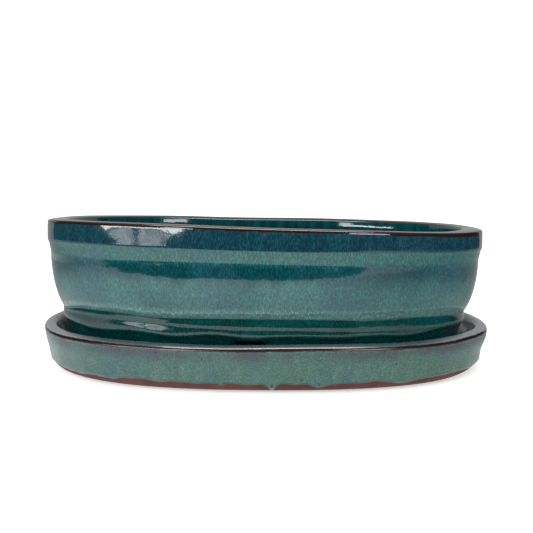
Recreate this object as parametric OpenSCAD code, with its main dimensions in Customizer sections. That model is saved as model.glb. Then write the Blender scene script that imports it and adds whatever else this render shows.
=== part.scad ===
// Oval glazed bonsai pot standing in its own drip tray.
// Both pieces are fired stoneware. Millimetres; +Z is up, +X is along the pot's length
// and -Y is the front. The origin is on the table, under the middle of the tray.
//
// Each piece is one cross-section carried round a rounded oval, a superellipse. A profile
// point is [out, up]: its distance outside the oval, negative inside, and its height. A
// profile runs from the middle of the underside, out, over the rim and back to the floor.

/* [Pot] */
// Length of the pot over its rim
pot_length = 304; // [280:1:306]
// Width of the pot over its rim
pot_width = 228; // [210:1:230]
// Height of the middle of the rim above the table
rim_height = 99.5; // [93:0.5:120]
// Squareness of the pot's oval: 2 is an ellipse, and more fills its corners
pot_squareness = 2.6; // [2:0.1:3.2]
// Thickness of the rim across its top
rim_thickness = 13; // [11:0.5:16]
// Thickness of the wall
wall_thickness = 9; // [6:0.5:11]
// Thickness of the pot's floor
floor_thickness = 9; // [6:0.5:12]
// Angle by which the pot leans, its -X end standing higher
lean = 0.85; // [0:0.05:1.2]
// How far the pot sits off the tray's middle, along X
pot_shift = -2; // [-3:0.5:2]

/* [Mouldings] */
// Height of the plain band below the rim
band_height = 14; // [12:0.5:20]
// Step from the band in to the wall
band_step = 2.1; // [1:0.1:3]
// How far the wall curves in from the band to the foot moulding
belly_inset = 7.5; // [4:0.5:10]
// Height above the table of the crease over the foot moulding
crease_height = 43.5; // [42:0.5:48]
// Height of the foot moulding, which is two flat beads
moulding_height = 12; // [10:0.5:13]
// How far the foot ring has leant in, from the moulding down to its lower edge
foot_setback = 8; // [6:0.5:9]

/* [Drainage] */
// Diameter of each drain hole in the pot's floor
drain_diameter = 20; // [12:1:26]
// Distance between the two drain holes
drain_spacing = 130; // [90:2:160]
// Width of the arch through the foot ring, front and back
arch_width = 28; // [16:1:34]
// How far each arch is off the pot's middle, along X
arch_shift = -7; // [-20:1:20]

/* [Tray] */
// Length of the drip tray over its rim
tray_length = 314; // [306:1:330]
// Width of the drip tray over its rim
tray_width = 238; // [234:1:250]
// Height of the tray's rim above the table
tray_height = 30; // [26:0.5:32]
// Squareness of the tray's oval: 2 is an ellipse, and more fills its corners
tray_squareness = 2.45; // [2.2:0.05:3]
// Thickness of the tray's rim
tray_rim_thickness = 7.6; // [6:0.2:9]
// Thickness of the tray's floor
tray_floor = 8; // [6:0.5:9]

/* [Hidden] */
$fn = 96;
segments = 84;                           // flats round each oval
over = 1;                                // how far a drain hole's cut runs past the floor
glaze = [0.28, 0.47, 0.46];
tray_glaze = [0.38, 0.50, 0.46];
pot_plan = [pot_length / 2, pot_width / 2, pot_squareness];
tray_plan = [tray_length / 2, tray_width / 2, tray_squareness];

// The pot's profile
rim_edge = 2;                            // radius of the rim's outer and inner edges
rim_dome = 2.7;                          // how far the rim's middle stands over its edges
lip_depth = 10;                          // height of the thicker lip inside the rim
band_bottom = rim_height - band_height;
cove = 8;                                // height over which the band steps in to the wall
wall_top = band_bottom - cove;
belly_height = wall_top - crease_height;
belly_power = 2.2;                       // how late the wall turns in towards the foot
belly_steps = 9;
crease_out = -(band_step + belly_inset + 0.6);
bead = 1;                                // radius of the lower edge of each bead
moulding_bottom = crease_height - moulding_height;
bead_middle = crease_height - moulding_height * 0.54;
foot_out = -(band_step + belly_inset + foot_setback);
foot_thickness = 14;                     // at its lower edge
foot_bottom = 3;                         // below the tray's floor, so that it trims level
inner_foot = foot_out - foot_thickness;
hollow = 5;                              // radius inside the foot ring, up to the floor
floor_under = moulding_bottom - 3;
floor_top = floor_under + floor_thickness;
floor_fillet = 10;
inner_wall = belly(crease_height) - wall_thickness;
arch_top = moulding_bottom - 1;
arch_spring = arch_top - arch_width / 2; // height where the arch's round top begins

// The tray's profile
tray_edge = 2.8;                         // radius of the rim's outer edge
tray_inner_edge = 2;                     // radius of the rim's inner edge
tray_heel = 11;                          // radius from the wall to the underside
tray_taper = 3;                          // how far the wall has leant in at the heel
tray_base_in = 14;                       // how far the flat underside stops inside the rim
tray_slope = 3;                          // how far the inner wall runs in on its way down
tray_fillet = 6;

// Points on an arc about c, from angle a to angle b
function arc(c, r, a, b, n = 5) =
    [for (i = [0:n]) c + r * [cos(a + (b - a) * i / n), sin(a + (b - a) * i / n)]];

// How far outside the oval the pot's wall is at height z
function belly(z) =
    -band_step - belly_inset * pow(max(0, (wall_top - z) / belly_height), belly_power);

function pot_profile() = concat(
    // inside of the foot ring, and its outside up to the moulding
    arc([inner_foot - hollow, floor_under - hollow], hollow, 90, 0, 4),
    [[inner_foot, foot_bottom], [foot_out, foot_bottom],
     [foot_out + foot_setback * 0.6, moulding_bottom - 9],
     [crease_out - 1.3, moulding_bottom - 0.8]],
    // lower bead, then the upper one
    arc([crease_out + 0.3 - bead, moulding_bottom + bead], bead, -70, 0, 4),
    [[crease_out, bead_middle - 0.6]],
    arc([crease_out + 0.3 - bead, bead_middle + bead], bead, -50, 0, 3),
    [[crease_out, crease_height - 1]],
    // belly, from the crease up to the cove
    [for (i = [0:belly_steps]) let (z = crease_height + belly_height * i / belly_steps)
        [belly(z), z]],
    [[-band_step * 0.5, band_bottom - 2.4], [0, band_bottom]],
    // rim, which is domed, over its edges
    arc([-rim_edge, rim_height - rim_dome - rim_edge], rim_edge, 0, 60, 3),
    [for (t = [0.25:0.2:0.65])
        [-rim_thickness * t, rim_height - rim_dome * (1 - sin(180 * t))]],
    arc([-rim_thickness + rim_edge, rim_height - rim_dome - rim_edge], rim_edge, 70, 180, 4),
    // inside of the lip and the wall, down to the floor
    [[-rim_thickness, rim_height - lip_depth * 0.6],
     [-band_step - wall_thickness, rim_height - lip_depth * 1.3]],
    [for (i = [belly_steps - 1:-2:0]) let (z = crease_height + belly_height * i / belly_steps)
        if (z > floor_top + floor_fillet) [belly(z) - wall_thickness, z]],
    arc([inner_wall - floor_fillet, floor_top + floor_fillet], floor_fillet, 0, -90)
);

function tray_profile() = concat(
    [[-tray_base_in, 0]],
    arc([-tray_taper - tray_heel, tray_heel], tray_heel, -75, -5),
    [[-2, 15], [-0.6, 21], [0, tray_height - 4.5]],
    arc([-tray_edge, tray_height - tray_edge - 0.3], tray_edge, 0, 75),
    arc([-tray_rim_thickness + tray_inner_edge, tray_height - tray_inner_edge],
        tray_inner_edge, 90, 170),
    arc([-tray_rim_thickness - tray_slope - tray_fillet, tray_floor + tray_fillet],
        tray_fillet, 0, -90)
);

// One profile point carried round the oval, at even angles
function ring(plan, point) =
    [for (i = [0:segments - 1])
        let (t = 360 * i / segments,
             x = abs(cos(t)) / (plan[0] + point[0]),
             y = abs(sin(t)) / (plan[1] + point[0]),
             reach = pow(pow(x, plan[2]) + pow(y, plan[2]), -1 / plan[2]))
        [reach * cos(t), reach * sin(t), point[1]]];

// The solid that a profile makes, closed by a flat cap at each of its ends
module loft(plan, profile) {
    last = len(profile) - 1;
    polyhedron(
        points = [for (point = profile) each ring(plan, point)],
        faces = concat(
            [[for (i = [0:segments - 1]) i]],
            [for (k = [0:last - 1], i = [0:segments - 1])
                let (a = k * segments, b = a + segments, j = (i + 1) % segments)
                each [[a + i, b + i, b + j], [a + i, b + j, a + j]]],
            [[for (i = [segments - 1:-1:0]) last * segments + i]]
        )
    );
}

// The opening that lets water out of the foot ring, cut at one side
module arch() {
    depth = 80;
    rotate([90, 0, 0]) {
        translate([0, arch_spring, 0]) cylinder(h = depth, d = arch_width, center = true);
        translate([0, arch_spring / 2, 0]) cube([arch_width, arch_spring, depth], center = true);
    }
}

module pot() {
    color(glaze) difference() {
        translate([pot_shift, 0, 0]) rotate([0, lean, 0]) difference() {
            loft(pot_plan, pot_profile());
            for (side = [-1, 1])
                translate([side * drain_spacing / 2, 0, floor_under - over])
                    cylinder(h = floor_thickness + 2 * over, d = drain_diameter);
            for (side = [-1, 1]) translate([arch_shift, side * pot_width / 2, 0]) arch();
        }
        // the foot ring stands flat on the tray's floor
        translate([0, 0, tray_floor / 2 - over])
            cube([pot_length, pot_width, tray_floor + 2 * over], center = true);
    }
}

module drip_tray() {
    color(tray_glaze) loft(tray_plan, tray_profile());
}

drip_tray();
pot();
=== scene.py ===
"""An oval glazed bonsai pot in its drip tray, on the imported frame. Metres; +Z is up, -Y is the front."""

import math

import bpy
import numpy as np
from mathutils import Matrix, Vector, geometry


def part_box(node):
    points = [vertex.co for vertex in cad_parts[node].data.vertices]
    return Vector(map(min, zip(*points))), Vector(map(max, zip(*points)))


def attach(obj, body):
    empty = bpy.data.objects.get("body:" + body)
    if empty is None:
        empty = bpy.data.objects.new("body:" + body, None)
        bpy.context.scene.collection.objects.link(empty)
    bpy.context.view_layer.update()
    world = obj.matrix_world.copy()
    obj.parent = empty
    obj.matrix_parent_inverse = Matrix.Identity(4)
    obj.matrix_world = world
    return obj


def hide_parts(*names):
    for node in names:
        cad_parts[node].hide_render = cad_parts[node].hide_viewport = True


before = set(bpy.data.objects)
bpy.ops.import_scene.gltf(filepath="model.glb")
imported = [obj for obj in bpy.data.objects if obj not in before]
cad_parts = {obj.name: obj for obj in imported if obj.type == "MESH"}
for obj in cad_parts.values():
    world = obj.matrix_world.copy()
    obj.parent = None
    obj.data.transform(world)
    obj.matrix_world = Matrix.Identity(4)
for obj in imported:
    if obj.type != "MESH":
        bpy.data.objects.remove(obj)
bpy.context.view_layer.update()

MM = 0.001

# ---------------------------------------------------------------- sizes, in millimetres

tray_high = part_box("drip_tray")[1] / MM  # the tray's outline and height come from the frame
LEAN = math.radians(0.85)  # the -X end of the pot stands higher
POT_SHIFT = -2.1  # how far the pot sits off the tray's middle, along X
POT_OVAL = (152.0, 114.0, 2.6)  # half length, half width and squareness of the rim
TRAY_OVAL = (tray_high.x, tray_high.y, 2.45)
RIM, RIM_EDGE = 98.9, 97.4  # the rim is domed: the top of its dome, and its outer edge
BAND_BOTTOM = 85.4
WALL_TOP = 77.4  # from here a cove leads out to the band
CREASE = 43.4  # between the wall and the moulding
UPPER_RING, LOWER_RING = 40.4, 35.0  # middles of the moulding's two rings
FLOOR_UNDER, FLOOR_TOP = 28.5, 37.5
TRAY_RIM = tray_high.z
TRAY_FLOOR = 8.0
FOOT_BOTTOM, FOOT_TOP = 3.0, 30.1  # before the foot ring is stood level on the tray's floor
FOOT_OUT, FOOT_IN = -17.6, -31.6  # its two faces, from the rim's oval
WALL = 9.0
DRAIN_RADIUS, DRAIN_X = 10.0, 65.0
ARCH_HALF, ARCH_X = 14.0, -7.0

COLUMNS = 720  # segments round each oval
STEP = 0.75  # distance between rings along a profile


# ---------------------------------------------------------------- profiles

def arc(x, z, radius, start, end, count=8):
    """Points on an arc about (x, z), between two angles in degrees."""
    turn = np.radians(np.linspace(start, end, count))
    return np.column_stack([x + radius * np.cos(turn), z + radius * np.sin(turn)])


def belly(z):
    """How far outside the rim's oval the pot's wall is at height z."""
    fall = np.clip((WALL_TOP - z) / (WALL_TOP - CREASE), 0, None)
    return -2.1 - 7.5 * fall**2.2


def pot_profile():
    """From the floor's underside, round the foot, up the outside and down the inside to the floor."""
    up = np.linspace(CREASE + 0.3, WALL_TOP, 24)
    face = np.linspace(BAND_BOTTOM + 0.7, RIM_EDGE - 1.7, 9)
    down = np.linspace(RIM - 14, FLOOR_TOP + 11, 20)
    return np.vstack([
        arc(FOOT_IN - 5, FLOOR_UNDER - 5, 5, 90, 0),
        arc(FOOT_IN + 1.2, FOOT_BOTTOM + 1.2, 1.2, 180, 270, 4),
        arc(FOOT_OUT - 1.5, FOOT_BOTTOM + 1.5, 1.5, 270, 345, 4),
        [(-13.6, 21.5), (-11.4, FOOT_TOP - 0.4), (-11.0, 30.5)],
        # the two rings of the moulding are almost flush: each leans back a little towards its top
        [(-10.1, 31.2), (-9.66, 31.9), (-9.61, 33.4), (-9.61, 33.7), (-9.65, 34.5), (-9.72, 36.0)],
        [(-9.71, 36.4), (-9.62, 37.5), (-9.62, 37.8), (-9.75, 41.0), (-9.84, CREASE - 0.1)],
        np.column_stack([belly(up), up]),
        [(-1.5, 80.3), (-1.0, 82.8), (-0.45, BAND_BOTTOM - 0.8), (0.1, BAND_BOTTOM)],
        # the band's face bulges a little, most of all below its middle
        np.column_stack([0.06 - 0.0029 * (face - 88.4) ** 2, face]),
        arc(-1.75, RIM_EDGE - 1.5, 1.6, 5, 58, 5),
        [(-2.4, RIM - 0.75), (-4.4, RIM - 0.2), (-6.5, RIM), (-8.6, RIM - 0.2)],
        arc(-10.9, RIM - 2.9, 2.1, 70, 168),
        # the inner wall flares a little towards the rim
        [(-13.25, RIM - 4.5), (-13.4, RIM - 6.5), (-13.42, RIM - 8)],
        np.column_stack([belly(np.minimum(down, WALL_TOP)) - WALL, down]),
        arc(belly(CREASE) - WALL - 10, FLOOR_TOP + 10, 10, 0, -90),
    ])


def tray_profile():
    """From the middle of the underside, out, up, over the rim and down to the tray's floor."""
    return np.vstack([
        [(-16.0, 0.0)],
        arc(-14.0, 1.0, 1.0, 270, 300, 3),
        arc(-14.0, 11.0, 10.9, -62, -6, 14),
        [(-2.5, 14.0), (-1.5, 18.0), (-0.7, 21.5), (-0.15, 25.0)],
        arc(-2.8, TRAY_RIM - 3.2, 2.8, 0, 70),
        arc(-4.9, TRAY_RIM - 3.4, 3.4, 92, 160),
        [(-10.2, 22.0), (-13.2, 15.5)],
        arc(-18.4, TRAY_FLOOR + 4, 4, -20, -90),
    ])


def even_path(points, soften, crowd, step=STEP):
    """The polyline resampled, its corners softened as by a glaze; crowd adds rings at some heights."""
    points = np.asarray(points, float)
    length = np.r_[0, np.cumsum(np.hypot(*np.diff(points, axis=0).T))]
    fine = 0.1
    at = np.linspace(0, length[-1], int(length[-1] / fine) + 1)
    path = np.column_stack([np.interp(at, length, points[:, k]) for k in (0, 1)])
    reach = int(3 * soften / fine)
    weights = np.exp(-0.5 * (np.arange(-reach, reach + 1) * fine / soften) ** 2)
    weights /= weights.sum()
    padded = np.pad(path, ((reach, reach), (0, 0)), mode="reflect", reflect_type="odd")
    path = np.column_stack([np.convolve(padded[:, k], weights, mode="valid") for k in (0, 1)])
    steps = np.hypot(*np.diff(path, axis=0).T)
    length = np.r_[0, np.cumsum(steps)]
    rings = np.r_[0, np.cumsum(steps / step * (1 + crowd(path[1:, 1])))]
    at = np.interp(np.linspace(0, rings[-1], int(rings[-1]) + 1), rings, length)
    return np.column_stack([np.interp(at, length, path[:, k]) for k in (0, 1)]), at


# ---------------------------------------------------------------- the hand-made surface

def ripple(x, y, z, wavelength, count, seed):
    """A smooth random field of about unit size that never repeats exactly, from a few waves in space."""
    random = np.random.default_rng(seed)
    total = np.zeros(np.broadcast(x, y, z).shape)
    for _ in range(count):
        direction = random.normal(size=3)
        direction /= np.linalg.norm(direction)
        size = wavelength * random.uniform(0.7, 1.6)
        phase = random.uniform(0, 2 * math.pi)
        distance = direction[0] * x + direction[1] * y + direction[2] * z
        total += np.sin(2 * math.pi * distance / size + phase)
    return total * math.sqrt(2 / count)


def bump(value, centre, width):
    """A smooth hump, 1 at its centre."""
    return np.exp(-0.5 * ((value - centre) / width) ** 2)


def smoothstep(value, low, high):
    """0 at low, 1 at high, smooth between and level beyond; low may be the larger."""
    t = np.clip((value - low) / (high - low), 0, 1)
    return t * t * (3 - 2 * t)


def oval_reach(turn, oval, out):
    """Distance from the middle to an oval grown by out, in the direction turn."""
    half_x, half_y, power = oval
    across = np.abs(np.cos(turn)) / (half_x + out)
    along = np.abs(np.sin(turn)) / (half_y + out)
    return (across**power + along**power) ** (-1 / power)


def even_turns(oval):
    """Directions that space the columns evenly round the oval."""
    turn = np.linspace(0, 2 * math.pi, 7201)
    reach = oval_reach(turn, oval, 0)
    steps = np.hypot(np.diff(reach * np.cos(turn)), np.diff(reach * np.sin(turn)))
    length = np.r_[0, np.cumsum(steps)]
    return np.interp(np.arange(COLUMNS) / COLUMNS * length[-1], length, turn)


def sweep(oval, out, up):
    """Rings of points: x, y and z arrays of ring by column, from per-point offsets and heights."""
    turn = even_turns(oval)[None, :]
    reach = oval_reach(turn, oval, out)
    return reach * np.cos(turn), reach * np.sin(turn), np.broadcast_to(up, reach.shape).copy()


class Shell:
    """Vertices and faces of one piece, gathered ring by ring, with what its glaze follows at each vertex.

    A zone is the height, the way along the profile from the rim (below 0 outside) and a share or distance
    that says where the clay is bare. A ref is X and Y, on the oval or, over a pot's floor, of the place
    itself, and the way along the profile.
    """

    def __init__(self):
        self.points, self.faces, self.zones, self.refs = [], [], [], []

    def add(self, points, zones, refs):
        start = len(self.points)
        self.points.extend(map(tuple, points))
        self.zones.extend(map(tuple, zones))
        self.refs.extend(map(tuple, refs))
        return list(range(start, len(self.points)))

    def join(self, lower, upper):
        """Quads between two closed rings."""
        for i in range(len(lower)):
            j = (i + 1) % len(lower)
            self.faces.append((lower[i], lower[j], upper[j], upper[i]))

    def wrap(self, points, zones, refs):
        """Adds a grid of vertices, ring by ring, with the faces between its rings."""
        rings = [self.add(*one) for one in zip(points, zones, refs)]
        for lower, upper in zip(rings, rings[1:]):
            self.join(lower, upper)
        return rings

    def fill(self, ring, holes, upward):
        """Flat triangles inside a ring, leaving its holes open."""
        loops = [ring, *holes]
        members = [v for loop in loops for v in loop]
        order = {v: k for k, v in enumerate(members)}
        edges = [(order[a], order[b]) for loop in loops for a, b in zip(loop, [*loop[1:], loop[0]])]
        flat = [Vector(self.points[v][:2]) for v in members]
        made = geometry.delaunay_2d_cdt(flat, edges, [], 1, 1e-7)
        origin = [members[o[0]] for o in made[3]]
        centres = [np.mean([self.points[v] for v in hole], axis=0) for hole in holes]
        radii = [np.hypot(*(np.array(self.points[hole[0]]) - c)[:2]) for hole, c in zip(holes, centres)]
        for face in made[2]:
            middle = sum((made[0][v] for v in face), Vector((0, 0))) / len(face)
            if any(math.hypot(middle.x - c[0], middle.y - c[1]) < r * 0.99 for c, r in zip(centres, radii)):
                continue
            corners = [origin[v] for v in face]
            a, b, c = (Vector(self.points[v]) for v in corners[:3])
            if ((b - a).cross(c - a).z > 0) != upward:
                corners.reverse()
            self.faces.append(tuple(corners))

    def build(self, name):
        mesh = bpy.data.meshes.new(name)
        mesh.from_pydata([tuple(c * MM for c in p) for p in self.points], [], self.faces)
        for label, values in (("zone", self.zones), ("ref", self.refs)):
            layer = mesh.attributes.new(label, "FLOAT_VECTOR", "POINT")
            layer.data.foreach_set("vector", np.array(values, np.float32).ravel())
        mesh.validate()
        mesh.shade_smooth()
        piece = bpy.data.objects.new(name, mesh)
        bpy.context.scene.collection.objects.link(piece)
        return piece


def crowd_pot(z):
    """More rings round the moulding and the rim."""
    return 1.2 * bump(z, 37, 6) + 0.8 * bump(z, 97, 3)


def crowd_tray(z):
    """More rings round the tray's rim."""
    return 0.6 * bump(z, TRAY_RIM, 4)


def foot_rise(x, y, up, share):
    """How far the lower wall, the moulding and the foot depart in height from the profile."""
    turn = np.arctan2(y, x)
    low = 1.54 + 0.44 * np.cos(2 * turn)
    crease = -0.6 - 1.95 * np.cos(2 * turn) + 0.3 * ripple(x, y, 0, 100, 8, 3)
    crease = crease + 2.1 * smoothstep(np.abs(x), 62, 105) * smoothstep(np.abs(x), 146, 126)
    high = smoothstep(up, 32, CREASE)
    rise = (low + (crease - low) * high) * smoothstep(up, 76, 46)
    # the lower edge of the moulding is scalloped as if pressed by hand
    lip = smoothstep(up, 36.5, 33) * smoothstep(up, 22, 29)
    rise = rise - lip * (0.72 + 0.2 * ripple(x, y, 0, 120, 5, 5)) * np.cos(2 * math.pi * (x + 7) / 54)
    # and both it and the groove above it wander from one end to the other
    rise = rise - lip * (0.6 + 0.4 * np.sin(x / 70) - 1.2 * smoothstep(x, 85, 120))
    rise = rise + (2.3 * smoothstep(-x, 10, 105) - 0.01 * x - 0.3) * bump(up, 37.2, 3.2)
    # near the foot it is almost level, and the lean grows up the wall
    extra = np.radians(np.interp(up, [32, CREASE, 66], [-0.66, -0.29, 0]))
    return (rise - x * np.tan(extra)) * share


def rim_rise(x, y, up):
    """How far the rim and the band depart in height from the profile."""
    forward = -y / POT_OVAL[1]
    to_rim = smoothstep(up, 86, 97)
    # the rim leans more than the wall, most of all at the front, where it also stands higher
    rise = -x * (0.0052 + 0.0070 * forward) * smoothstep(up, 66, RIM)
    rise = rise + (0.67 + 1.08 * forward) * to_rim
    rise = rise + 0.9 * smoothstep(x, 125, 150) * (0.2 + 0.8 * forward) * to_rim
    # its dome is flatter at the front
    rise = rise - (0.65 + 0.65 * forward) * smoothstep(up, RIM_EDGE - 0.4, RIM)
    # the band is narrower towards the +X end
    narrower = smoothstep(x, 20, 90) * smoothstep(up, 74, 84) * smoothstep(up, 97, 88)
    return rise + (0.55 + 0.55 * forward) * narrower


def ring_lean(x, up):
    """How far each of the moulding's two rings is set in above its middle, and out below it."""
    above_lower, above_upper = up - LOWER_RING, up - UPPER_RING
    right, left = smoothstep(x, 0, 40), smoothstep(-x, 80, 96)
    ends = 1.2 * smoothstep(-x, 98, 110) + 1.5 * smoothstep(x, 94, 114)
    upper_share = right + ends - 0.4 * bump(x, -75, 25)
    lean = (right + left) * 0.060 * above_lower * bump(above_lower, 0, 1.6)
    lean = lean + upper_share * 0.058 * above_upper * bump(above_upper, 0, 3.6)
    # the lower ring leans in one more place, a little left of the middle
    return lean + 0.11 * above_lower * bump(above_lower, 0, 2.6) * bump(x, -75, 10)


def pot_swell(x, y, up, outside):
    """How far the hand-made wall stands out from the profile; it is less even inside."""
    swell = (0.16 + 0.25 * (1 - outside)) * ripple(x, y, up, 85, 14, 11)
    swell = swell + 0.030 * ripple(x, y, up * 1.3, 26, 30, 13)
    swell = swell + 0.010 * ripple(x, y, up, 9, 40, 17) * outside
    # the crease is filled with glaze at the -X end
    swell = swell + 0.2 * bump(up, CREASE - 1.0, 1.4) * smoothstep(-x, 134, 148) * outside
    return swell - ring_lean(x, up) * outside


def leaned(x, z):
    """Where a point of the upright pot comes to once it leans and stands off the tray's middle."""
    return x * math.cos(LEAN) + z * math.sin(LEAN) + POT_SHIFT, -x * math.sin(LEAN) + z * math.cos(LEAN)


def drain_hole(shell, centre, floor_at):
    """One hole through the floor, its edges rounded; gives its upper and its lower edge."""
    fillet = 1.6
    depth = FLOOR_TOP - FLOOR_UNDER
    section = np.vstack([
        arc(DRAIN_RADIUS + fillet, -fillet, fillet, 90, 180, 5),
        arc(DRAIN_RADIUS + fillet, fillet - depth, fillet, 180, 270, 5),
    ])
    spin = np.linspace(0, 2 * math.pi, 64, endpoint=False)
    loops = []
    for radius, height in section:
        x, y = centre + radius * np.cos(spin), radius * np.sin(spin)
        z = np.full_like(x, FLOOR_TOP + height)
        leaned_x, leaned_z = leaned(x, z)
        inner = np.full_like(x, floor_at - height)
        loops.append(shell.add(
            np.column_stack([leaned_x, y, leaned_z]),
            np.column_stack([z, inner, np.full_like(x, -height / depth)]),
            np.column_stack([x, y, inner]),
        ))
    for upper, lower in zip(loops, loops[1:]):
        shell.join(upper, lower)
    return loops[0], loops[-1]


def build_pot():
    """The pot's body: wall, rim, moulded foot ring with its two arches, and the drilled floor."""
    path, along = even_path(pot_profile(), soften=0.4, crowd=crowd_pot)
    out, up = path[:, :1], path[:, 1:]
    rim_at = along[np.argmax(path[:, 1])]
    drop = (along - rim_at)[:, None]  # below 0 on the outside, above 0 on the inside
    ref_x, ref_y, _ = sweep(POT_OVAL, np.zeros((1, 1)), 0)
    outside = smoothstep(-drop, 0, 6)
    moulded = outside * smoothstep(out, FOOT_IN + 2, FOOT_OUT)
    rise = foot_rise(ref_x, ref_y, up, moulded) + rim_rise(ref_x, ref_y, up)
    rise = rise + 0.2 * ripple(ref_x, ref_y, up * 0.6, 120, 8, 7) * smoothstep(up, 30, 40)
    x, y, z = sweep(POT_OVAL, out + pot_swell(ref_x, ref_y, up, outside), up + rise)

    # lean, then stand the foot on the tray's floor with its arches
    leaned_x, leaned_z = leaned(x, z)
    top_leaned = leaned(x, FOOT_TOP + foot_rise(ref_x, ref_y, FOOT_TOP, moulded))[1]
    arch = np.sqrt(np.clip(1 - ((x - ARCH_X) / ARCH_HALF) ** 2, 0, 1))
    stand = TRAY_FLOOR + 0.05 + (top_leaned - 0.4 - TRAY_FLOOR) * arch
    share = (up - FOOT_BOTTOM) / (FOOT_TOP - FOOT_BOTTOM)
    in_foot = (up < FOOT_TOP) & (out >= FOOT_IN - 1.3) & (drop < 0)
    leaned_z = np.where(in_foot, stand + share * (top_leaned - stand), leaned_z)

    foot_bottom_at = -drop[np.argmin(up)]
    bare = smoothstep(-drop, foot_bottom_at - 9, foot_bottom_at - 6)
    # on the floor the glaze follows the place itself, and elsewhere the place on the rim's oval
    on_floor = np.maximum(smoothstep(out, -22, -28) * (drop > 0), out < FOOT_IN - 2)
    follow_x, follow_y = ref_x + (x - ref_x) * on_floor, ref_y + (y - ref_y) * on_floor

    shell = Shell()
    points = np.stack([leaned_x, y, leaned_z], axis=-1)
    zones = np.stack(np.broadcast_arrays(up + 0 * x, drop, bare), axis=-1)
    refs = np.stack([follow_x, follow_y, along[:, None] + 0 * x], axis=-1)
    rings = shell.wrap(points, zones, refs)
    holes = [drain_hole(shell, centre, along[-1] - rim_at) for centre in (-DRAIN_X, DRAIN_X)]
    shell.fill(rings[-1], [upper for upper, _ in holes], upward=True)
    shell.fill(rings[0], [lower for _, lower in holes], upward=False)
    return shell.build("pot_body")


# where glaze ran past its wiped edge on the tray's front: X, width and length in millimetres;
# the back has the same runs mirrored, shorter, closer together and moved along
RUNS = ((-27, 3.0, 1.6), (4, 4.2, 4.2), (33, 9.0, 2.8), (-98, 6.0, 1.2), (88, 11.0, 1.5))


def glaze_edge(x, y):
    """Height at which the tray's glaze stops above its bare foot."""
    edge = 6.0 + 0.55 * ripple(x, y, 0, 60, 9, 23) + 0.25 * ripple(x, y, 0, 14, 16, 29)
    front = y < 0
    for place, width, length in RUNS:
        edge = edge - length * bump(x, place, width / 2.2) * front
        edge = edge - 0.6 * length * bump(x, -place * 0.8 + 9, width / 2.0) * ~front
    return np.maximum(edge, 0.8)


def build_tray():
    """The drip tray: glazed all over but for its underside and the lowest part of its wall."""
    path, along = even_path(tray_profile(), step=0.6, soften=0.6, crowd=crowd_tray)
    out, up = path[:, :1], path[:, 1:]
    rim_at = along[np.argmax(path[:, 1])]
    drop = (along - rim_at)[:, None]
    ref_x, ref_y, _ = sweep(TRAY_OVAL, np.zeros((1, 1)), 0)
    outside = smoothstep(-drop, 0, 4)
    rise = 0.28 * ripple(ref_x, ref_y, 0, 140, 7, 31) * smoothstep(up, 8, 26)
    rise = rise - 0.7 * smoothstep(ref_y, -30, 50) * smoothstep(up, 15, 26)
    swell = 0.22 * ripple(ref_x, ref_y, up, 70, 12, 37) * smoothstep(up, 1, 9)
    swell = swell + 0.05 * ripple(ref_x, ref_y, up, 18, 24, 41) * smoothstep(up, 1, 9) - 0.25
    swell = swell - 1.3 * smoothstep(ref_x, 110, 150) * smoothstep(up, 25, 13)
    above = up - glaze_edge(ref_x, ref_y)  # above 0 where the outside is glazed
    coat = smoothstep(above, -0.2, 1.0) + 0.8 * bump(above, 1.1, 0.9)
    swell = swell + 0.38 * coat * outside - 0.3 * outside
    x, y, z = sweep(TRAY_OVAL, out + swell, up + rise)

    shell = Shell()
    zones = np.stack(np.broadcast_arrays(up + 0 * x, drop, above + 0 * x), axis=-1)
    refs = np.stack(np.broadcast_arrays(ref_x, ref_y, along[:, None]), axis=-1)
    rings = shell.wrap(np.stack([x, y, z], axis=-1), zones, refs)
    shell.fill(rings[-1], [], upward=True)
    shell.fill(rings[0], [], upward=False)
    return shell.build("drip_tray_body")


# ---------------------------------------------------------------- materials

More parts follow.
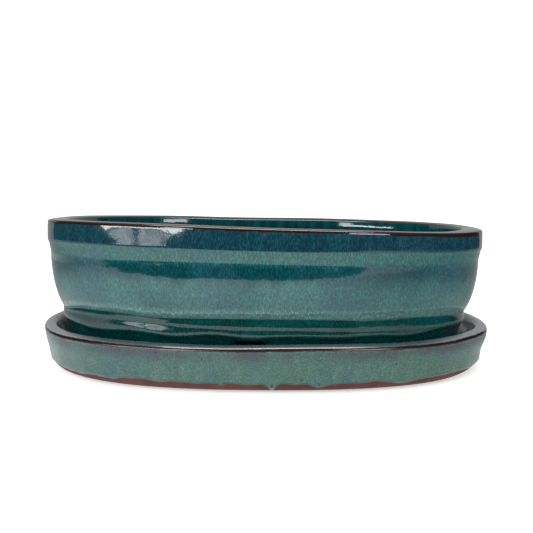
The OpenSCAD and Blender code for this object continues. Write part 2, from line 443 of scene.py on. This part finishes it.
class Paint:
    """One material's nodes, made by calls that read like arithmetic. Lengths are in millimetres."""

    def __init__(self, name):
        self.material = bpy.data.materials.new(name)
        self.material.use_nodes = True
        self.tree = self.material.node_tree
        self.shader = self.tree.nodes["Principled BSDF"]
        self.zone = self.split(self.attribute("zone"))
        self.ref = self.split(self.attribute("ref"))

    def node(self, kind, inputs=(), **settings):
        made = self.tree.nodes.new(kind)
        for key, value in settings.items():
            setattr(made, key, value)
        for socket, value in dict(inputs).items():
            self.set(made.inputs[socket], value)
        return made

    def set(self, socket, value):
        if isinstance(value, bpy.types.NodeSocket):
            self.tree.links.new(value, socket)
        else:
            socket.default_value = value

    def attribute(self, name):
        return self.node("ShaderNodeAttribute", attribute_name=name).outputs["Vector"]

    def split(self, vector):
        return self.node("ShaderNodeSeparateXYZ", {0: vector}).outputs

    def vector(self, x, y, z):
        return self.node("ShaderNodeCombineXYZ", {0: x, 1: y, 2: z}).outputs[0]

    def math(self, operation, a, b=0.0):
        return self.node("ShaderNodeMath", {0: a, 1: b}, operation=operation).outputs[0]

    def add(self, a, b):
        return self.math("ADD", a, b)

    def times(self, a, b):
        return self.math("MULTIPLY", a, b)

    def sway(self, noise, size):
        """A length in millimetres that follows a noise, about half of size to either side of 0."""
        return self.times(self.add(noise, -0.5), size)

    def span(self, value, low, high, out_low=0.0, out_high=1.0):
        """A smooth step of value from low to high, or down it if low is the larger."""
        ranges = {1: low, 2: high, 3: out_low, 4: out_high}
        if low > high:
            ranges = {1: high, 2: low, 3: out_high, 4: out_low}
        step = self.node("ShaderNodeMapRange", {0: value, **ranges}, interpolation_type="SMOOTHSTEP")
        return step.outputs[0]

    def between(self, value, low, high, soft):
        """1 from low to high, falling to 0 over soft on both sides."""
        return self.times(self.span(value, low - soft, low), self.span(value, high + soft, high))

    def noise(self, size, detail=2.0, roughness=0.5, stretch=1.0, offset=0.0):
        """Noise whose features are about size across, and stretch times longer down the glaze's run."""
        x, y, along = self.ref
        place = self.vector(x, y, self.add(self.times(along, 1 / stretch), offset))
        inputs = {"Vector": place, "Scale": 1 / size, "Detail": detail, "Roughness": roughness}
        return self.node("ShaderNodeTexNoise", inputs).outputs["Fac"]

    def mix(self, factor, a, b, blend="MIX"):
        made = self.node("ShaderNodeMix", {0: factor}, data_type="RGBA", blend_type=blend)
        for socket, value in ((made.inputs[6], a), (made.inputs[7], b)):
            self.set(socket, value if isinstance(value, bpy.types.NodeSocket) else (*value, 1.0))
        return made.outputs[2]

    def shade(self, colour, amount):
        """The colour made darker or lighter by a number."""
        return self.mix(1.0, colour, self.vector(amount, amount, amount), "MULTIPLY")

    def scale_mix(self, factor, a, b):
        """A number between a and b."""
        return self.node("ShaderNodeMix", {0: factor, 2: a, 3: b}, data_type="FLOAT").outputs[0]

    def bump(self, height, distance, normal=None):
        inputs = {"Height": height, "Distance": distance * MM, "Strength": 1.0}
        if normal is not None:
            inputs["Normal"] = normal
        return self.node("ShaderNodeBump", inputs).outputs[0]


# linear colours: the pot's, a few of which the tray shares, then the tray's and the clay's
DEEP_TEAL = (0.001, 0.035, 0.042)
DEEP_GREEN = (0.001, 0.026, 0.026)
FOOT_TEAL = (0.001, 0.040, 0.040)
BAND_BLUE = (0.004, 0.028, 0.043)
BAND_TEAL = (0.004, 0.038, 0.050)
RIM_MILK_AND_SHEEN = (0.010, 0.056, 0.072)
SAGE = (0.005, 0.062, 0.064)
PALE_SAGE_AND_SHEEN = (0.022, 0.100, 0.096)
SAGE_BLUE = (0.010, 0.058, 0.076)
COVE_SAGE_AND_SHEEN = (0.008, 0.072, 0.066)
CREASE_PAINTED_SHEEN = (0.055, 0.130, 0.125)
PLUM = (0.060, 0.062, 0.072)
BREAK_BROWN = (0.016, 0.006, 0.004)
LINING = (0.002, 0.062, 0.070)
CELADON = (0.024, 0.084, 0.062)
CELADON_BLUE = (0.018, 0.072, 0.078)
CELADON_PALE = (0.055, 0.115, 0.090)
TRAY_PLUM = (0.018, 0.026, 0.032)
LAVENDER_AND_SHEEN = (0.215, 0.235, 0.265)
CLAY_RED = (0.055, 0.008, 0.003)
CLAY_PALE = (0.085, 0.018, 0.009)
CLAY_GRAIN = (0.030, 0.012, 0.008)


def bare_clay(paint):
    """Colour of the fired red clay, with its grain and darker scorched patches."""
    patches = paint.noise(14, detail=3, offset=300)
    colour = paint.mix(paint.span(patches, 0.35, 0.7), CLAY_RED, CLAY_PALE)
    grains = paint.span(paint.noise(0.9, detail=1, offset=340), 0.62, 0.74)
    return paint.mix(paint.times(grains, 0.6), colour, CLAY_GRAIN)


def finish_ceramic(paint, glaze, clay_share, glaze_roughness, texture):
    """Joins a glaze colour and the bare clay on one shader, each with its own roughness and surface."""
    shader = paint.shader
    paint.set(shader.inputs["Base Color"], paint.mix(clay_share, glaze, bare_clay(paint)))
    paint.set(shader.inputs["Roughness"], paint.scale_mix(clay_share, glaze_roughness, 0.85))
    grain = paint.times(paint.noise(0.8, detail=4, roughness=0.6, offset=60), clay_share)
    paint.set(shader.inputs["Normal"], paint.bump(grain, 0.25, paint.bump(texture, 0.045)))
    shader.inputs["IOR"].default_value = 1.55
    return paint.material


def belly_colour(paint, hues, clouds, flow):
    """Sage in the cove under the band, dark below it, then paler and streaked down to the crease. These bands
    are partly the glaze's own colour and partly painted reflection; the pale strip just above the crease is
    painted reflection.
    """
    height = paint.zone[0]
    level = paint.add(height, flow)
    # dark band below the cove: partly pooled glaze and partly a painted dark reflection
    colour = paint.mix(paint.span(level, 70, 60), DEEP_TEAL, SAGE)
    # the cove is painted paler sage: partly its glaze and partly a painted reflection of the pale table below
    # it
    cove = paint.span(paint.add(height, paint.times(flow, 0.3)), WALL_TOP - 2.9, WALL_TOP + 1.6)
    colour = paint.mix(cove, colour, COVE_SAGE_AND_SHEEN)
    # the lower wall, which curves down towards the table, is painted paler in clouds: partly the glaze's own
    # variation and partly painted reflection
    paler = paint.times(paint.between(level, 50, 62, 8), paint.span(clouds, 0.35, 0.65))
    colour = paint.mix(paint.times(paler, 0.7), colour, PALE_SAGE_AND_SHEEN)
    colour = paint.mix(paint.span(hues, 0.42, 0.66, 0, 0.6), colour, SAGE_BLUE)
    # painted reflection: a pale strip just above the crease
    return paint.mix(paint.span(height, CREASE + 6.6, CREASE + 2.6), colour, CREASE_PAINTED_SHEEN)


def rim_breaks(paint, place):
    """Where the glaze breaks brown: over the rim's outer edge, along its crest and over its inner edge."""
    wider = paint.span(paint.ref[0], 40, 120, 0, 0.8)
    outer_edge = paint.between(paint.add(place, wider), -7.5, -5.4, 0.6)
    crest = paint.times(paint.between(place, -0.9, 0.6, 0.6), 0.7)
    inner_edge = paint.between(place, 4.4, 6.6, 0.7)
    return paint.math("MAXIMUM", paint.math("MAXIMUM", outer_edge, crest), inner_edge)


def pot_glaze():
    """Blue-green glaze: blue on the band, sage hare's-fur streaks on the belly, dark below, brown breaks; the
    belly's bands and the paler rim top are partly painted reflection.
    """
    paint = Paint("pot_glaze")
    height, drop, bare = paint.zone
    hairs = paint.noise(0.56, detail=1, stretch=3.4)
    grain = paint.span(hairs, 0.40, 0.74, 0.76, 1.78)
    streaks = paint.noise(6, detail=3, roughness=0.6, stretch=9, offset=20)
    clouds = paint.noise(34, detail=3, stretch=1.6, offset=40)
    hues = paint.noise(26, detail=3, stretch=1.3, offset=160)
    mottle = paint.noise(4, detail=4, roughness=0.65, offset=80)
    flow = paint.add(paint.sway(streaks, 14), paint.sway(hairs, 5))

    belly_glaze = paint.shade(belly_colour(paint, hues, clouds, flow), grain)
    # band: blue, with fine streaks, and milky plum mottling towards the rim
    band = paint.mix(paint.span(streaks, 0.4, 0.65), BAND_BLUE, BAND_TEAL)
    band = paint.shade(band, grain)
    haze = paint.times(paint.span(paint.add(height, flow), 88, 97), paint.span(mottle, 0.45, 0.7))
    band = paint.mix(paint.times(haze, 0.3), band, PLUM)
    foot = paint.mix(paint.span(clouds, 0.4, 0.65), DEEP_GREEN, FOOT_TEAL)
    foot = paint.shade(foot, grain)
    lining = paint.mix(paint.span(streaks, 0.35, 0.65), DEEP_TEAL, LINING)

    glaze = paint.mix(paint.span(height, CREASE - 0.4, CREASE + 0.3), foot, belly_glaze)
    glaze = paint.mix(paint.span(height, BAND_BOTTOM - 0.4, BAND_BOTTOM + 0.2), glaze, band)
    glaze = paint.mix(paint.span(drop, 3, 8), glaze, lining)
    # the rim's top is painted lighter: partly a milky glaze and partly painted reflection
    rim_top = paint.between(drop, -5, 3, 1.5)
    glaze = paint.mix(paint.times(rim_top, 0.6), glaze, RIM_MILK_AND_SHEEN)
    ragged = paint.add(paint.sway(mottle, 1.6), paint.sway(clouds, 1.6))
    glaze = paint.mix(rim_breaks(paint, paint.add(drop, ragged)), glaze, BREAK_BROWN)

    clay_share = paint.span(paint.add(bare, paint.sway(mottle, 0.4)), 0.4, 0.6)
    texture = paint.add(paint.noise(3.4, detail=2, offset=120), paint.times(hairs, 0.2))
    return finish_ceramic(paint, glaze, clay_share, paint.scale_mix(mottle, 0.04, 0.10), texture)


# dark specks and drips on the front of the tray's wall: X, height, width and length in millimetres
TRAY_MARKS = ((-66, 25.5, 1.6, 2.6), (-38, 22.0, 1.4, 2.6), (22, 9.0, 1.8, 2.2), (80, 17.5, 1.6, 1.8),
              (-25, 6.5, 2.2, 3.0), (4, 5.0, 2.6, 3.4), (33, 6.0, 1.8, 2.6))


def marked(paint, wall, mottle):
    """The tray's wall with its specks and drips, each a small ragged oval on the front."""
    at_front = paint.span(paint.ref[1], 0, -1)
    for x, z, width, length in TRAY_MARKS:
        ragged_x = paint.add(paint.ref[0], paint.add(paint.times(mottle, 2.0), -x - 1.0))
        across = paint.times(ragged_x, 2 / width)
        down = paint.times(paint.add(paint.zone[0], -z), 2 / length)
        away = paint.add(paint.times(across, across), paint.times(down, down))
        mark = paint.times(paint.span(away, 1.0, 0.3, 0, 0.8), at_front)
        wall = paint.mix(mark, wall, BREAK_BROWN)
    return wall


def tray_glaze():
    """Celadon with blue and plum clouds, lavender on the rim and inside it, and bare red clay at the foot."""
    paint = Paint("tray_glaze")
    height, drop, above = paint.zone
    hairs = paint.noise(0.7, detail=1, stretch=1.2)
    streaks = paint.noise(7, detail=3, roughness=0.6, stretch=4)
    clouds = paint.noise(30, detail=3, stretch=1.3, offset=40)
    mottle = paint.noise(3.5, detail=4, roughness=0.65, offset=80)
    flow = paint.sway(streaks, 12)

    wall = paint.mix(paint.span(clouds, 0.42, 0.66, 0, 0.8), CELADON, CELADON_BLUE)
    wall = paint.mix(paint.span(streaks, 0.45, 0.68, 0, 0.5), wall, CELADON_PALE)
    upper = paint.span(paint.add(height, flow), 17, 25)
    wall = paint.mix(paint.times(upper, paint.span(clouds, 0.40, 0.60, 0.35, 0.85)), wall, TRAY_PLUM)
    wall = paint.shade(wall, paint.span(hairs, 0.40, 0.74, 0.76, 1.7))
    pooled = paint.between(above, 0.0, 0.8, 0.8)
    wall = paint.mix(paint.times(pooled, 0.8), wall, FOOT_TEAL)
    wall = marked(paint, wall, mottle)

    # inside, the glaze is lavender on the rim and the slope below it, most of all at the ends; the lavender
    # is partly the glaze's own colour and partly painted reflection, kept pale down the shaded slope
    lining = paint.mix(paint.span(streaks, 0.35, 0.65), DEEP_TEAL, LINING)
    ends = paint.span(paint.math("ABSOLUTE", paint.ref[0]), 96, 132, 0.25, 0.9)
    rim_top = paint.times(paint.between(drop, -4.5, 17, 4), ends)
    glaze = paint.mix(paint.span(drop, -4.5, -3.5), wall, lining)
    glaze = paint.mix(rim_top, glaze, LAVENDER_AND_SHEEN)
    ragged = paint.add(paint.sway(mottle, 1.6), paint.sway(clouds, 1.8))
    edge = paint.between(paint.add(drop, ragged), -6.6, -4.9, 0.5)
    glaze = paint.mix(edge, glaze, BREAK_BROWN)

    outside = paint.span(drop, -1, -3)
    clay_share = paint.times(paint.span(above, 0.35, -0.15), outside)
    texture = paint.add(paint.noise(4, detail=2, offset=120), paint.times(mottle, 0.4))
    wall_roughness = paint.scale_mix(mottle, 0.16, 0.34)
    inner_roughness = paint.scale_mix(paint.span(drop, 12, 22), 0.10, 0.6)
    roughness = paint.scale_mix(paint.span(drop, -6.5, -4.5), wall_roughness, inner_roughness)
    return finish_ceramic(paint, glaze, clay_share, roughness, texture)


def dress(piece, material, body, node):
    """Gives a piece its material and its place on a body, and hides the CAD node that it stands for."""
    piece.data.materials.append(material)
    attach(piece, body)
    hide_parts(node)


# ---------------------------------------------------------------- stage, in metres

def plain_material(name, colour, glow):
    """A matt stage colour that may glow white."""
    material = bpy.data.materials.new(name)
    material.use_nodes = True
    shader = material.node_tree.nodes["Principled BSDF"]
    shader.inputs["Base Color"].default_value = (*colour, 1)
    shader.inputs["Roughness"].default_value = 0.9
    shader.inputs["Specular IOR Level"].default_value = 0.0
    shader.inputs["Emission Color"].default_value = (1, 1, 1, 1)
    shader.inputs["Emission Strength"].default_value = glow
    return material


def panel(name, corners, material):
    """A flat stage panel with the given corners."""
    mesh = bpy.data.meshes.new(name)
    mesh.from_pydata(corners, [], [tuple(range(len(corners)))])
    mesh.materials.append(material)
    made = bpy.data.objects.new(name, mesh)
    bpy.context.scene.collection.objects.link(made)
    return made


def reflection_card(name, corners, glow):
    """A panel that shows only in reflections: it lights nothing, and the camera doesn't see it."""
    card = panel(name, corners, plain_material(name, (0, 0, 0), glow))
    card.visible_camera = False
    card.visible_diffuse = False
    card.visible_shadow = False
    card.visible_transmission = False
    card.visible_volume_scatter = False
    return card


def level_card(name, outline, z, glow):
    """A level card at height z."""
    return reflection_card(name, [(x, y, z) for x, y in outline], glow)


def rectangle(x0, x1, y0, y1):
    return [(x0, y0), (x1, y0), (x1, y1), (x0, y1)]


def facing_card(name, azimuth, outline, glow):
    """An upright card facing the pot, at azimuth degrees from the front to +X; its outline is (side, up)."""
    distance = 1.8
    turn = math.radians(azimuth)
    corners = []
    for side, z in outline:
        x = distance * math.sin(turn) + side * math.cos(turn)
        y = -distance * math.cos(turn) + side * math.sin(turn)
        corners.append((x, y, z))
    return reflection_card(name, corners, glow)


def fold_glow(card, glow):
    """Varies a card's glow in soft patches."""
    tree = card.data.materials[0].node_tree
    place = tree.nodes.new("ShaderNodeNewGeometry")
    squash = tree.nodes.new("ShaderNodeVectorMath")
    squash.operation = "MULTIPLY"
    squash.inputs[1].default_value = (14, 14, 30)
    folds = tree.nodes.new("ShaderNodeTexNoise")
    folds.inputs["Detail"].default_value = 2
    folds.inputs["Scale"].default_value = 1
    levels = tree.nodes.new("ShaderNodeMapRange")
    levels.inputs[1].default_value, levels.inputs[2].default_value = 0.35, 0.65
    levels.inputs[3].default_value, levels.inputs[4].default_value = 0.5 * glow, 1.5 * glow
    tree.links.new(place.outputs["Position"], squash.inputs[0])
    tree.links.new(squash.outputs[0], folds.inputs["Vector"])
    tree.links.new(folds.outputs["Fac"], levels.inputs[0])
    tree.links.new(levels.outputs[0], tree.nodes["Principled BSDF"].inputs["Emission Strength"])


def fade_glow(card, centre, reach, near, far):
    """Makes a card's glow fall smoothly from near, at centre, to far, at reach away along X and Y."""
    tree = card.data.materials[0].node_tree
    place = tree.nodes.new("ShaderNodeNewGeometry")
    shift = tree.nodes.new("ShaderNodeVectorMath")
    shift.operation = "SUBTRACT"
    shift.inputs[1].default_value = (*centre, 0)
    squeeze = tree.nodes.new("ShaderNodeVectorMath")
    squeeze.operation = "DIVIDE"
    squeeze.inputs[1].default_value = (*reach, 1)
    length = tree.nodes.new("ShaderNodeVectorMath")
    length.operation = "LENGTH"
    fall = tree.nodes.new("ShaderNodeMapRange")
    fall.interpolation_type = "SMOOTHSTEP"
    fall.inputs[3].default_value, fall.inputs[4].default_value = near, far
    tree.links.new(place.outputs["Position"], shift.inputs[0])
    tree.links.new(shift.outputs[0], squeeze.inputs[0])
    tree.links.new(squeeze.outputs[0], length.inputs[0])
    tree.links.new(length.outputs["Value"], fall.inputs[0])
    tree.links.new(fall.outputs[0], tree.nodes["Principled BSDF"].inputs["Emission Strength"])


def build_table():
    """The floor, which reflections don't see, and the table top that they see in its place."""
    floor = panel("floor", [(x, y, -0.0004) for x, y in rectangle(-6, 6, -6, 6)],
                  plain_material("floor_white", (0.9, 0.9, 0.9), 0.5))
    floor.visible_glossy = False
    bright, dim, side = 1.65, 0.4, 0.45
    front_edge = [(-0.62, -0.30), (-0.30, -0.314), (0.02, -0.32), (0.16, -0.375)]
    outline = [(-0.62, 0.9), *front_edge, (0.62, -0.375), (0.62, 0.9)]
    table = level_card("table_card", outline, 0.0, bright)
    fade_glow(table, (-0.15, -0.27), (0.66, 0.50), bright, dim)
    level_card("table_card_left", rectangle(-1.0, -0.62, -0.40, 0.9), 0.0, 1.5 * side)
    level_card("table_card_back", rectangle(0.62, 1.0, 0.0, 0.9), 0.0, side)
    wing = [(0.16, -0.375), (0.23, -0.46), (0.33, -0.60), (0.42, -0.70), (0.72, -0.56), (0.80, 0.0),
            (0.62, 0.0), (0.62, -0.375)]
    right = level_card("table_card_right", wing, 0.0, bright)
    fade_glow(right, (0.20, -0.42), (0.62, 0.62), 1.35, 0.55)


def build_window(glow, curtain_glow):
    """A window to the left of the camera: bright above, and dimmer in the two curtains below."""
    azimuth = -41
    bright = [(-0.69, 0.155), (-0.60, 0.09), (-0.36, 0.135), (-0.02, 0.155), (0.31, 0.146), (0.54, 0.079),
              (0.655, 0.108), (0.655, 0.30), (-0.69, 0.30)]
    left = [(-0.54, 0.060), (-0.40, 0.015), (-0.17, -0.05), (0.01, -0.074), (0.0, 0.110), (-0.28, 0.105)]
    right = [(0.06, -0.075), (0.33, -0.072), (0.42, -0.05), (0.40, 0.015), (0.49, 0.070), (0.30, 0.112),
             (0.15, 0.125), (0.06, 0.085)]
    facing_card("window_card", azimuth, bright, glow)
    for name, outline in (("curtain_card_1", left), ("curtain_card_2", right)):
        fold_glow(facing_card(name, azimuth, outline, curtain_glow), curtain_glow)


def build_stage():
    """The floor, and the cards that the glaze reflects: a table, a backdrop, a window, lamps and a room."""
    room, ceiling, backdrop, window, curtain = 0.03, 0.4, 0.42, 7.0, 4.0
    build_table()
    behind = [(-1.35, 0.9, 0), (1.0, 0.9, 0), (1.0, 0.9, 1.2), (-1.35, 0.9, 1.2)]
    reflection_card("backdrop_card", behind, backdrop)
    build_window(2.0 * window, curtain)
    # a strip of shine low on the right, two lamps that shine inside the far wall, and a ceiling lamp
    facing_card("lamp_shine", 46, rectangle(-0.10, 0.12, -0.044, -0.038), 0.3 * window)
    facing_card("lamp_card_left", -23, rectangle(-0.18, 0.16, 0.26, 0.66), 1.3 * window)
    facing_card("lamp_card_right", 30, rectangle(-0.30, 0.30, 0.26, 0.66), 1.3 * window)
    level_card("ceiling_card", rectangle(-0.9, 0.9, -1.15, -0.45), 1.8, 2.0 * window)
    # the dim room around the table, as a box with its walls well away from the pot
    far, top, low = 2.6, 2.2, -0.4
    level_card("room_card_below", rectangle(-far, far, -far, far), low, room)
    level_card("room_card_above", rectangle(-far, far, -far, far), top, ceiling)
    corners = rectangle(-far, far, -far, far)
    for number, (a, b) in enumerate(zip(corners, [*corners[1:], corners[0]])):
        reflection_card(f"room_card_{number}", [(*a, low), (*b, low), (*b, top), (*a, top)], room)


def build_lights():
    """White surroundings, and a soft lamp behind the camera, above it and to the left."""
    world = bpy.data.worlds.new("studio")
    world.use_nodes = True
    world.node_tree.nodes["Background"].inputs["Color"].default_value = (1, 1, 1, 1)
    world.node_tree.nodes["Background"].inputs["Strength"].default_value = 1.0
    bpy.context.scene.world = world
    lamp = bpy.data.lights.new("softbox", "AREA")
    lamp.shape = "RECTANGLE"
    lamp.size, lamp.size_y, lamp.energy = 1.2, 0.8, 14
    softbox = bpy.data.objects.new("softbox", lamp)
    place = Vector((-0.7, -1.5, 0.8))
    softbox.matrix_world = Matrix.Translation(place) @ place.to_track_quat("Z", "Y").to_matrix().to_4x4()
    softbox.visible_glossy = False
    bpy.context.scene.collection.objects.link(softbox)


def build_camera():
    """A normal lens, a little above the rim and just under 0.6 m from the pot's middle."""
    data = bpy.data.cameras.new("camera")
    data.lens, data.sensor_width = 52.5, 36
    camera = bpy.data.objects.new("camera", data)
    pitch, roll = 0.0966, 0.0048
    turned = Matrix.Rotation(math.pi / 2 - pitch, 4, "X") @ Matrix.Rotation(roll, 4, "Z")
    camera.matrix_world = Matrix.Translation((0.0002, -0.569, 0.1209)) @ turned
    bpy.context.scene.collection.objects.link(camera)
    bpy.context.scene.camera = camera


dress(build_pot(), pot_glaze(), "pot", "pot")
dress(build_tray(), tray_glaze(), "tray", "drip_tray")
build_stage()
build_lights()
build_camera()
bpy.context.scene.view_settings.view_transform = "Standard"
